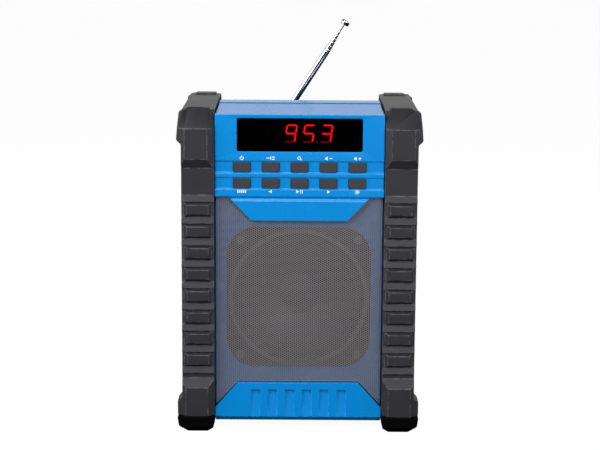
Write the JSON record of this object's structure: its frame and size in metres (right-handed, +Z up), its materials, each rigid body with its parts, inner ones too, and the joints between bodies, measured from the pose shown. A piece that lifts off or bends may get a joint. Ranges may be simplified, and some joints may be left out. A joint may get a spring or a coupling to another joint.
{
  "type": "jobsite radio",
  "caption": "Rugged jobsite radio with treaded side guards, rubber feet, a round loudspeaker behind a perforated grille, push buttons and a telescopic antenna.",
  "frame": {"origin": "on the floor under the middle of the radio's footprint", "axes": "+Z up, the front with the grille and the display faces -Y, +X to the right seen from the front"},
  "size_m": [0.2, 0.15, 0.3361],
  "materials": {
    "blue_plastic": "fine satin",
    "dark_plastic": "fine spark texture",
    "guard_grey": "fine spark texture",
    "foot_rubber": "matte",
    "grille_metal": "satin, perforated",
    "display_black": "polished",
    "led_module": "satin",
    "silicone": "matte",
    "circuit_board": "solder mask",
    "socket_black": "moulded",
    "bare_aluminium": "extruded",
    "capacitor_sleeve": "sleeved",
    "basket_steel": "satin black",
    "zinc_steel": "zinc plated",
    "ferrite": "ground",
    "cone_paper": "pressed paper",
    "spider_cloth": "resin cloth",
    "coil_copper": "wound wire",
    "gasket_plastic": "satin",
    "screw_steel": "black oxide",
    "cell_jacket": "plain sleeve",
    "contact_nickel": "nickel plated",
    "flap_rubber": "matte",
    "antenna_chrome": "polished",
    "button_grey": "matte"
  },
  "bodies": {
    "radio": {"front_cabinet": "blue_plastic", "rear_cabinet": "dark_plastic", "speaker_grille": "grille_metal", "display_lens": "display_black", "led_display": "led_module", "left_guard": "guard_grey", "right_guard": "guard_grey", "foot_front_left": "foot_rubber", "foot_front_right": "foot_rubber", "foot_rear_left": "foot_rubber", "foot_rear_right": "foot_rubber", "keypad_mat": "silicone", "control_board": "circuit_board", "main_board": "circuit_board", "aux_jack": "socket_black", "dc_jack": "socket_black", "heat_sink": "bare_aluminium", "capacitors": "capacitor_sleeve", "speaker_basket": "basket_steel", "speaker_top_plate": "zinc_steel", "speaker_magnet": "ferrite", "speaker_yoke": "zinc_steel", "speaker_surround": "foot_rubber", "speaker_spider": "spider_cloth", "speaker_gasket": "gasket_plastic", "speaker_screws": "screw_steel", "guard_screws": "screw_steel", "case_screws": "screw_steel", "board_screws": "screw_steel", "battery_tray": "dark_plastic", "battery_cells": "cell_jacket", "battery_contacts": "contact_nickel", "antenna_socket": "dark_plastic"},
    "button_power": {"button_power": "button_grey"},
    "button_mode": {"button_mode": "button_grey"},
    "button_scan": {"button_scan": "button_grey"},
    "button_volume_down": {"button_volume_down": "button_grey"},
    "button_volume_up": {"button_volume_up": "button_grey"},
    "button_preset": {"button_preset": "button_grey"},
    "button_previous": {"button_previous": "button_grey"},
    "button_play": {"button_play": "button_grey"},
    "button_next": {"button_next": "button_grey"},
    "button_dimmer": {"button_dimmer": "button_grey"},
    "cone_assembly": {"speaker_cone": "cone_paper", "voice_coil": "coil_copper", "dust_cap": "cone_paper"},
    "antenna_base": {"antenna_swivel": "antenna_chrome", "antenna_nut": "zinc_steel", "antenna_pin": "antenna_chrome"},
    "antenna_arm": {"antenna_arm": "antenna_chrome"},
    "antenna_section_2": {"antenna_section_2": "antenna_chrome"},
    "antenna_section_3": {"antenna_section_3": "antenna_chrome"},
    "antenna_section_4": {"antenna_section_4": "antenna_chrome"},
    "antenna_section_5": {"antenna_section_5": "antenna_chrome"},
    "antenna_section_6": {"antenna_section_6": "antenna_chrome"},
    "antenna_rod": {"antenna_rod": "antenna_chrome", "antenna_tip": "antenna_chrome"},
    "battery_door": {"battery_door": "dark_plastic"},
    "socket_flap": {"socket_flap": "flap_rubber"}
  },
  "joints": [
    {"name": "power_press", "type": "slide", "parent": "radio", "child": "button_power", "axis": [0, 1, 0], "range_m": [0, 0.001], "stiffness_N_per_m": 300, "deforming": ["keypad_mat"]},
    {"name": "mode_press", "type": "slide", "parent": "radio", "child": "button_mode", "axis": [0, 1, 0], "range_m": [0, 0.001], "stiffness_N_per_m": 300, "deforming": ["keypad_mat"]},
    {"name": "scan_press", "type": "slide", "parent": "radio", "child": "button_scan", "axis": [0, 1, 0], "range_m": [0, 0.001], "stiffness_N_per_m": 300, "deforming": ["keypad_mat"]},
    {"name": "volume_down_press", "type": "slide", "parent": "radio", "child": "button_volume_down", "axis": [0, 1, 0], "range_m": [0, 0.001], "stiffness_N_per_m": 300, "deforming": ["keypad_mat"]},
    {"name": "volume_up_press", "type": "slide", "parent": "radio", "child": "button_volume_up", "axis": [0, 1, 0], "range_m": [0, 0.001], "stiffness_N_per_m": 300, "deforming": ["keypad_mat"]},
    {"name": "preset_press", "type": "slide", "parent": "radio", "child": "button_preset", "axis": [0, 1, 0], "range_m": [0, 0.001], "stiffness_N_per_m": 300, "deforming": ["keypad_mat"]},
    {"name": "previous_press", "type": "slide", "parent": "radio", "child": "button_previous", "axis": [0, 1, 0], "range_m": [0, 0.001], "stiffness_N_per_m": 300, "deforming": ["keypad_mat"]},
    {"name": "play_press", "type": "slide", "parent": "radio", "child": "button_play", "axis": [0, 1, 0], "range_m": [0, 0.001], "stiffness_N_per_m": 300, "deforming": ["keypad_mat"]},
    {"name": "next_press", "type": "slide", "parent": "radio", "child": "button_next", "axis": [0, 1, 0], "range_m": [0, 0.001], "stiffness_N_per_m": 300, "deforming": ["keypad_mat"]},
    {"name": "dimmer_press", "type": "slide", "parent": "radio", "child": "button_dimmer", "axis": [0, 1, 0], "range_m": [0, 0.001], "stiffness_N_per_m": 300, "deforming": ["keypad_mat"]},
    {"name": "cone_stroke", "type": "slide", "parent": "radio", "child": "cone_assembly", "axis": [0, 1, 0], "range_m": [-0.002, 0.002], "stiffness_N_per_m": 1000, "deforming": ["speaker_surround", "speaker_spider"]},
    {"name": "antenna_turn", "type": "hinge", "parent": "radio", "child": "antenna_base", "pos_m": [-0.0136, 0.035, 0.252], "axis": [0, 0, 1], "continuous": true},
    {"name": "antenna_tilt", "type": "hinge", "parent": "antenna_base", "child": "antenna_arm", "pos_m": [-0.0136, 0.035, 0.252], "axis": [0, 1, 0], "range_deg": [-32.8, 22.2]},
    {"name": "antenna_pull_1", "type": "slide", "parent": "antenna_arm", "child": "antenna_section_2", "axis": [0.5417, 0, 0.8406], "range_m": [0, 0.054]},
    {"name": "antenna_pull_2", "type": "slide", "parent": "antenna_section_2", "child": "antenna_section_3", "axis": [0.5417, 0, 0.8406], "range_m": [0, 0.054]},
    {"name": "antenna_pull_3", "type": "slide", "parent": "antenna_section_3", "child": "antenna_section_4", "axis": [0.5417, 0, 0.8406], "range_m": [0, 0.054]},
    {"name": "antenna_pull_4", "type": "slide", "parent": "antenna_section_4", "child": "antenna_section_5", "axis": [0.5417, 0, 0.8406], "range_m": [0, 0.054]},
    {"name": "antenna_pull_5", "type": "slide", "parent": "antenna_section_5", "child": "antenna_section_6", "axis": [0.5417, 0, 0.8406], "range_m": [0, 0.054]},
    {"name": "antenna_pull_6", "type": "slide", "parent": "antenna_section_6", "child": "antenna_rod", "axis": [0.5417, 0, 0.8406], "range_m": [0, 0.054]},
    {"name": "battery_door_hinge", "type": "hinge", "parent": "radio", "child": "battery_door", "pos_m": [0, 0.0647, 0.0277], "axis": [-1, 0, 0], "range_deg": [0, 95]},
    {"name": "socket_flap_hinge", "type": "hinge", "parent": "radio", "child": "socket_flap", "pos_m": [-0.028, 0.065, 0.2], "axis": [1, 0, 0], "range_deg": [0, 100], "stiffness_Nm_per_rad": 0.003}
  ]
}
